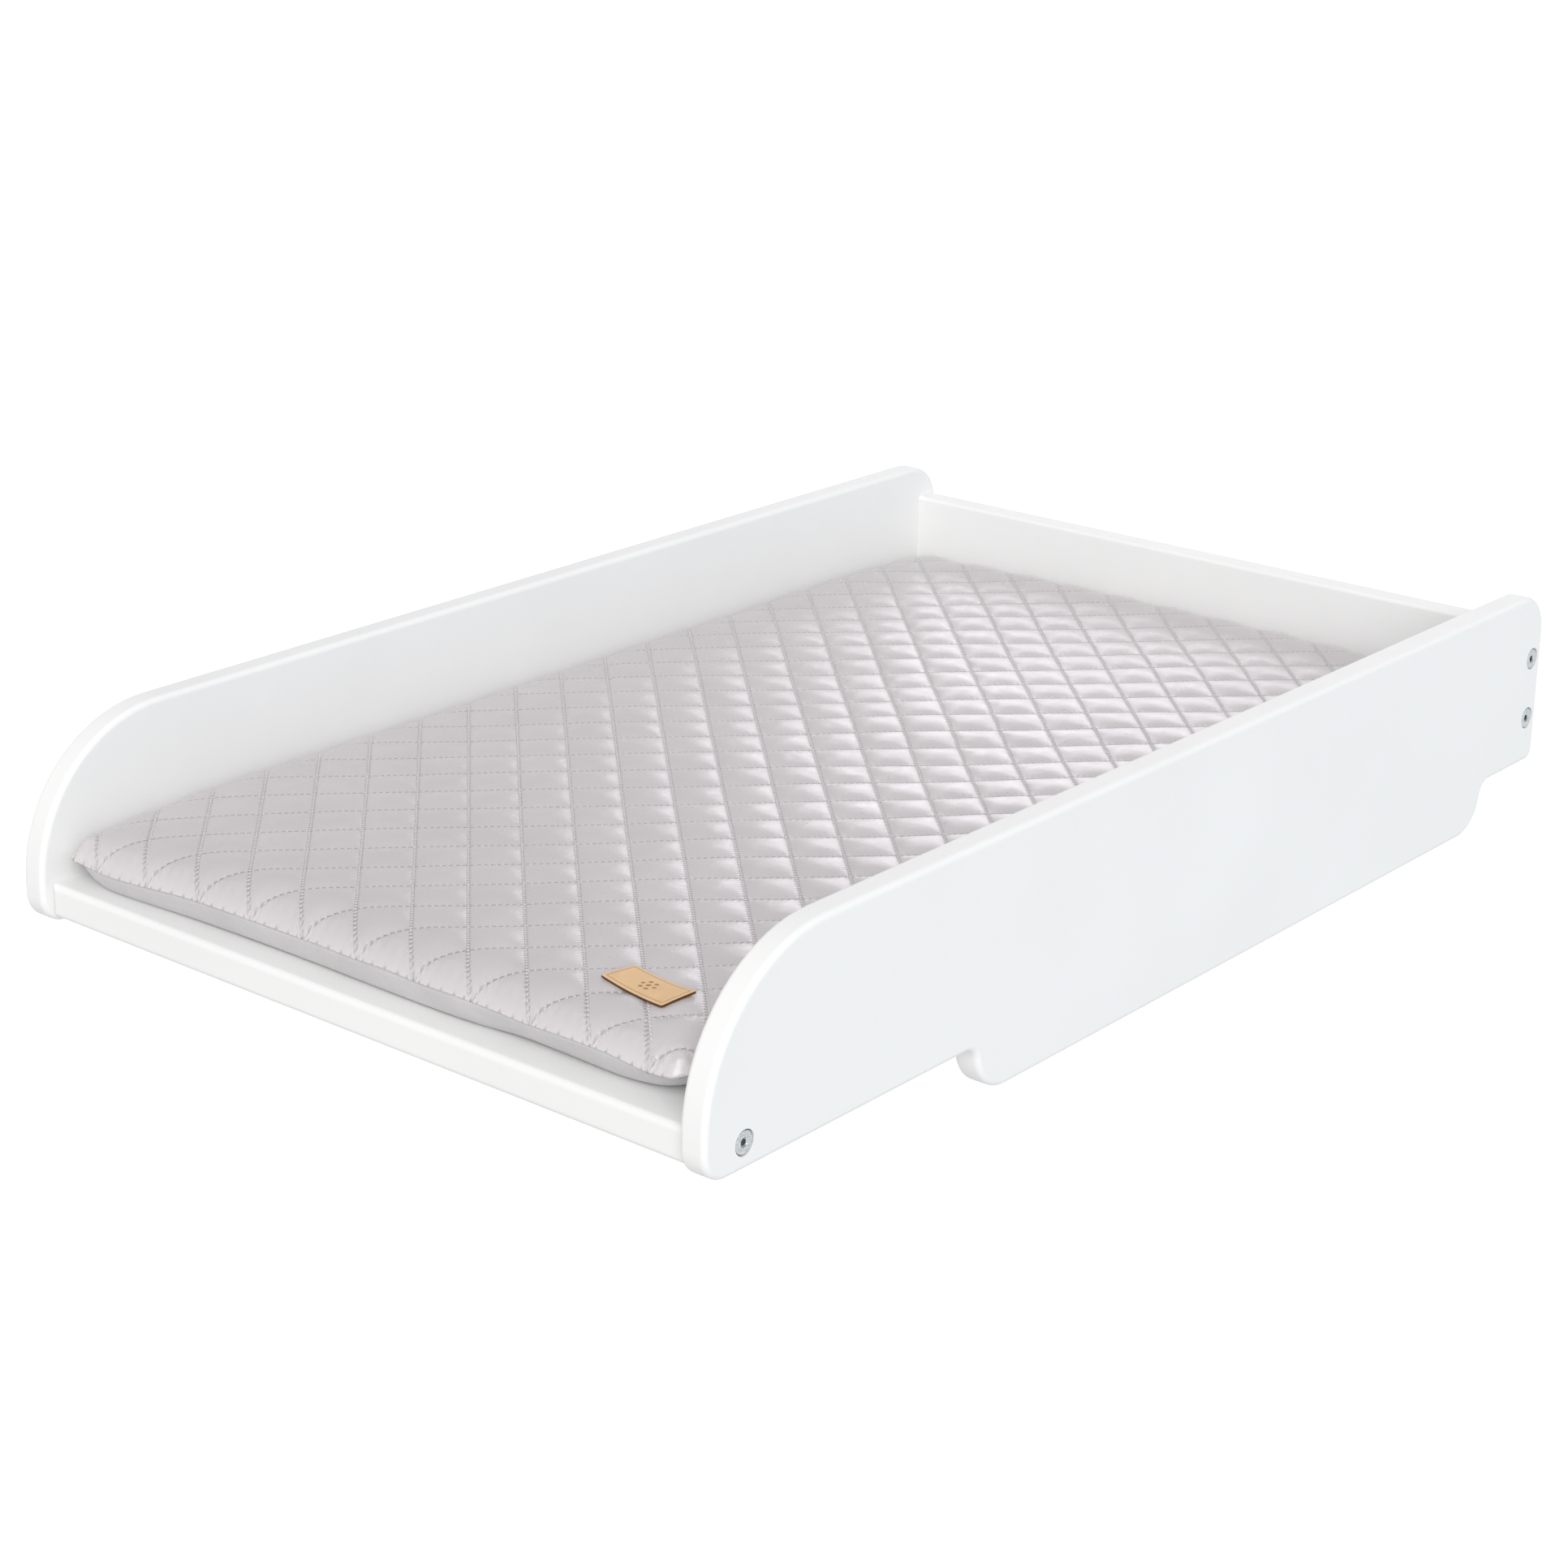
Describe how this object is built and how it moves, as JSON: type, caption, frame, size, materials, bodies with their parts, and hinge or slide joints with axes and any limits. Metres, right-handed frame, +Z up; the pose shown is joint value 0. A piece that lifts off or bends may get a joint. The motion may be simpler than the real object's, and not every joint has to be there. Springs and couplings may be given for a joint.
{
  "type": "changing tray with pad",
  "caption": "White board changing tray for the top of a cot, with stepped side panels, a low back panel and a loose diamond-quilted pad.",
  "frame": {"origin": "middle of the tray, at the height of the bottoms of the side panels' tabs", "axes": "+X across the tray to the right as seen from the open front, +Y from the open front to the back panel, +Z up"},
  "size_m": [0.558, 0.9, 0.158],
  "materials": {
    "white_lacquer": "white satin lacquer over fibreboard",
    "zinc_steel": "bright zinc plated",
    "beech": "bare wood",
    "quilt_satin": "satin weave polyester, diamond quilted",
    "underside_cloth": "plain weave",
    "wadding": "bonded fibre wadding",
    "foam": "open cell foam",
    "label_leather": "smooth tan leather with dark cut edges"
  },
  "bodies": {
    "tray": {"side_panel_left": "white_lacquer", "side_panel_right": "white_lacquer", "base_board": "white_lacquer", "back_panel": "white_lacquer", "connector_bolt_front_right": "zinc_steel", "connector_bolt_front_left": "zinc_steel", "connector_bolt_rear_upper_right": "zinc_steel", "connector_bolt_rear_upper_left": "zinc_steel", "connector_bolt_rear_lower_right": "zinc_steel", "connector_bolt_rear_lower_left": "zinc_steel", "barrel_nut_front_right": "zinc_steel", "barrel_nut_front_left": "zinc_steel", "barrel_nut_rear_upper_right": "zinc_steel", "barrel_nut_rear_upper_left": "zinc_steel", "barrel_nut_rear_lower_right": "zinc_steel", "barrel_nut_rear_lower_left": "zinc_steel", "dowel_front_right": "beech", "dowel_front_left": "beech", "dowel_middle_right": "beech", "dowel_middle_left": "beech", "dowel_rear_right": "beech", "dowel_rear_left": "beech", "dowel_back_left": "beech", "dowel_back_middle": "beech", "dowel_back_right": "beech"},
    "pad": {"quilted_top_cover": "quilt_satin", "quilt_wadding": "wadding", "foam_core": "foam", "bottom_cover": "underside_cloth", "leather_label": "label_leather"}
  },
  "joints": [
    {"name": "pad_lift", "type": "slide", "parent": "tray", "child": "pad", "axis": [0, 0, 1], "range_m": [0, 0.25]}
  ]
}
